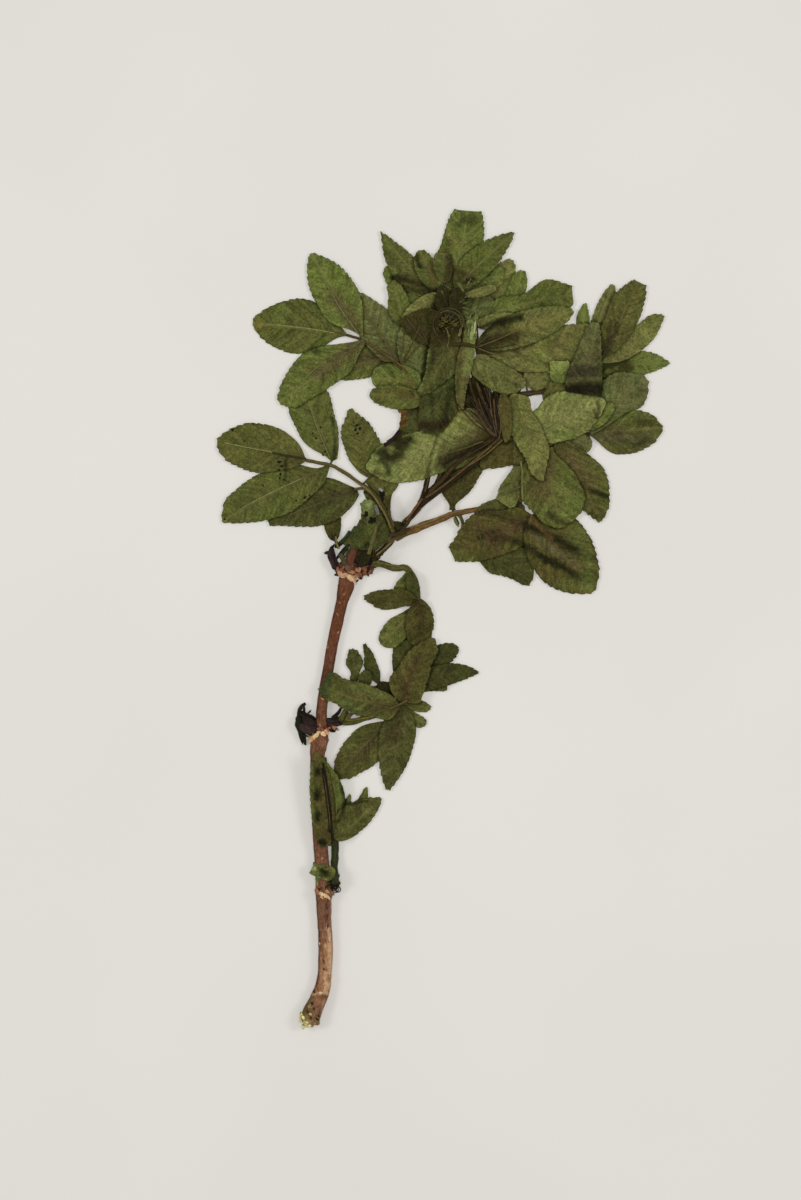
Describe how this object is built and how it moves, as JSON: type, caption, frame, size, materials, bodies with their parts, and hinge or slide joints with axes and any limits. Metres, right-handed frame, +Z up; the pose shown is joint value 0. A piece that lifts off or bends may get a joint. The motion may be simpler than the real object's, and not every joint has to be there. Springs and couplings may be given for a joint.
{
  "type": "pressed leafy elder branch",
  "caption": "Flat, dried elder branch: a red-brown woody stem, olive compound leaves with toothed leaflets, dark buds and a young flower cluster.",
  "frame": {"origin": "middle of the outer box, on the plane the branch lies on", "axes": "+Y runs from the stem's cut end to the leafy top, +X is to the right seen from above, +Z is up, away from the plane it lies on"},
  "size_m": [0.1688, 0.3034, 0.0106],
  "materials": {
    "bark": "satin",
    "dark_stalk": "matte",
    "leaf": "matte",
    "pale_leaf": "matte",
    "flower": "matte"
  },
  "bodies": {
    "root": {"stem": "bark", "shoot": "dark_stalk", "leaf_a": "leaf", "leaf_o": "leaf", "leaf_b": "leaf", "leaf_c": "leaf", "leaf_d": "leaf", "leaf_k": "leaf", "leaf_n": "leaf", "leaf_l": "leaf", "leaf_f": "leaf", "leaf_g": "leaf", "leaf_h": "leaf", "leaf_m": "leaf", "leaf_e": "pale_leaf", "leaf_j": "pale_leaf", "flower_cluster": "flower"}
  },
  "joints": []
}
